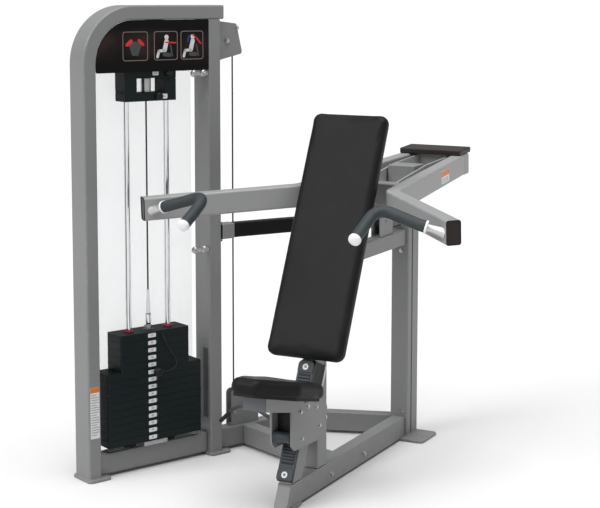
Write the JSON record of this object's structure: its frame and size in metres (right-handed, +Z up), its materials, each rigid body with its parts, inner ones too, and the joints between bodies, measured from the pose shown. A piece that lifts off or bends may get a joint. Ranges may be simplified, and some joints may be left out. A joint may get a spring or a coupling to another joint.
{
  "type": "shoulder press machine",
  "caption": "Selectorised shoulder press machine: skewed weight tower, reclined back pad, sliding seat and a hinged press arm with angled handles.",
  "frame": {"origin": "centre of the footprint's bounding box, on the floor", "axes": "+X to the seated user's left, +Y from the seat back to the rear post, +Z up"},
  "size_m": [1.4142, 1.5914, 1.65],
  "materials": {
    "frame_paint": "satin powder coat",
    "arm_paint": "satin powder coat",
    "black_paint": "satin powder coat",
    "stack_paint": "black paint",
    "pad_leather": "black leatherette",
    "chrome": "polished",
    "slate_plastic": "moulded",
    "grip_rubber": "foam rubber grip",
    "bumper_rubber": "matte",
    "cable_jacket": "nylon jacket on steel cable",
    "shield_plastic": "translucent sheet",
    "placard_plastic": "printed sheet"
  },
  "bodies": {
    "frame": {"tower_bent_tube": "frame_paint", "tower_back_post": "frame_paint", "base_rail": "frame_paint", "base_rail_extension": "frame_paint", "tower_front_foot": "frame_paint", "tower_back_foot": "frame_paint", "rear_foot": "frame_paint", "spine_tube": "frame_paint", "cross_tube": "frame_paint", "rear_tube": "frame_paint", "rear_post": "frame_paint", "upper_beam": "frame_paint", "curved_brace": "black_paint", "seat_mast": "frame_paint", "seat_upright": "frame_paint", "seat_track": "slate_plastic", "back_pad": "pad_leather", "rear_shield": "shield_plastic", "instruction_placard": "placard_plastic", "guide_rod_front": "chrome", "guide_rod_back": "chrome", "stack_bumper_front": "bumper_rubber", "stack_bumper_back": "bumper_rubber", "top_pulley_hanger": "frame_paint", "side_pulley_housing": "frame_paint", "lower_pulley_housing": "frame_paint", "beam_pulley_housing": "frame_paint", "tower_cable": "cable_jacket", "rear_cable": "cable_jacket", "stack_cable": "cable_jacket", "arm_cable": "cable_jacket", "pivot_head": "frame_paint", "pivot_shaft": "chrome", "fixed_plates": "stack_paint"},
    "lifted_stack": {"head_plate": "stack_paint", "lifted_plate_2": "stack_paint", "lifted_plate_3": "stack_paint", "lifted_plate_4": "stack_paint", "lifted_plate_5": "stack_paint", "lifted_plate_6": "stack_paint", "selector_rod": "chrome", "pin_lanyard": "cable_jacket"},
    "selector_pin": {"selector_pin": "placard_plastic"},
    "add_on_upper": {"add_on_upper": "stack_paint"},
    "add_on_lower": {"add_on_lower": "stack_paint"},
    "seat": {"seat_pad": "pad_leather", "seat_carriage": "frame_paint"},
    "seat_lever": {"seat_lever": "black_paint"},
    "press_arm": {"arm_rail_left": "arm_paint", "arm_rail_right": "arm_paint", "arm_rear_bar": "arm_paint", "arm_cross_bar": "arm_paint", "counterweight": "black_paint", "pivot_levers": "arm_paint", "handle_left": "grip_rubber", "handle_right": "grip_rubber"},
    "top_pulley": {"top_pulley": "slate_plastic"},
    "side_pulley": {"side_pulley": "slate_plastic"},
    "lower_pulley": {"lower_pulley": "slate_plastic"},
    "beam_pulley": {"beam_pulley": "slate_plastic"}
  },
  "joints": [
    {"name": "press_arm_hinge", "type": "hinge", "parent": "frame", "child": "press_arm", "pos_m": [0.11907, 0.45372, 1.01], "axis": [-1, 0, 0], "range_deg": [0, 36], "deforming": ["arm_cable"]},
    {"name": "stack_slide", "type": "slide", "parent": "frame", "child": "lifted_stack", "axis": [0, 0, 1], "range_m": [-0.0005, 0.1576], "deforming": ["stack_cable"]},
    {"name": "selector_pin_slide", "type": "slide", "parent": "lifted_stack", "child": "selector_pin", "axis": [0.9135, -0.4067, 0], "range_m": [0, 0.065]},
    {"name": "add_on_lower_slide", "type": "slide", "parent": "frame", "child": "add_on_lower", "axis": [0, 0, -1], "range_m": [0, 0.4]},
    {"name": "add_on_upper_slide", "type": "slide", "parent": "frame", "child": "add_on_upper", "axis": [0, 0, -1], "range_m": [-0.0005, 0.4005]},
    {"name": "seat_slide", "type": "slide", "parent": "frame", "child": "seat", "axis": [0, 0.4147, 0.91], "range_m": [-0.05, 0.12]},
    {"name": "seat_lever_hinge", "type": "hinge", "parent": "seat", "child": "seat_lever", "pos_m": [0.07107, -0.44628, 0.252], "axis": [0, 1, 0], "range_deg": [0, 14], "stiffness_Nm_per_rad": 2, "springref_deg": -17.19},
    {"name": "top_pulley_spin", "type": "hinge", "parent": "frame", "child": "top_pulley", "pos_m": [-0.52747, -0.28082, 1.522], "axis": [-0.9135, 0.4067, 0], "range_deg": [-2, 252]},
    {"name": "side_pulley_spin", "type": "hinge", "parent": "frame", "child": "side_pulley", "pos_m": [-0.40504, -0.00584, 1.522], "axis": [-0.9135, 0.4067, 0], "range_deg": [-2, 252]},
    {"name": "lower_pulley_spin", "type": "hinge", "parent": "frame", "child": "lower_pulley", "pos_m": [-0.37576, 0.05994, 0.161], "axis": [-0.9135, 0.4067, 0], "range_deg": [-252, 2]},
    {"name": "beam_pulley_spin", "type": "hinge", "parent": "frame", "child": "beam_pulley", "pos_m": [0.11907, 0.23972, 0.862], "axis": [1, 0, 0], "range_deg": [-252, 2]}
  ],
  "couplings": [
    {"joint": "stack_slide", "follows": "press_arm_hinge", "m_per_rad": 0.25},
    {"joint": "add_on_upper_slide", "follows": "add_on_lower_slide", "ratio": 1},
    {"joint": "top_pulley_spin", "follows": "press_arm_hinge", "ratio": 6.9444},
    {"joint": "side_pulley_spin", "follows": "press_arm_hinge", "ratio": 6.9444},
    {"joint": "lower_pulley_spin", "follows": "press_arm_hinge", "ratio": -6.9444},
    {"joint": "beam_pulley_spin", "follows": "press_arm_hinge", "ratio": -6.9444}
  ]
}
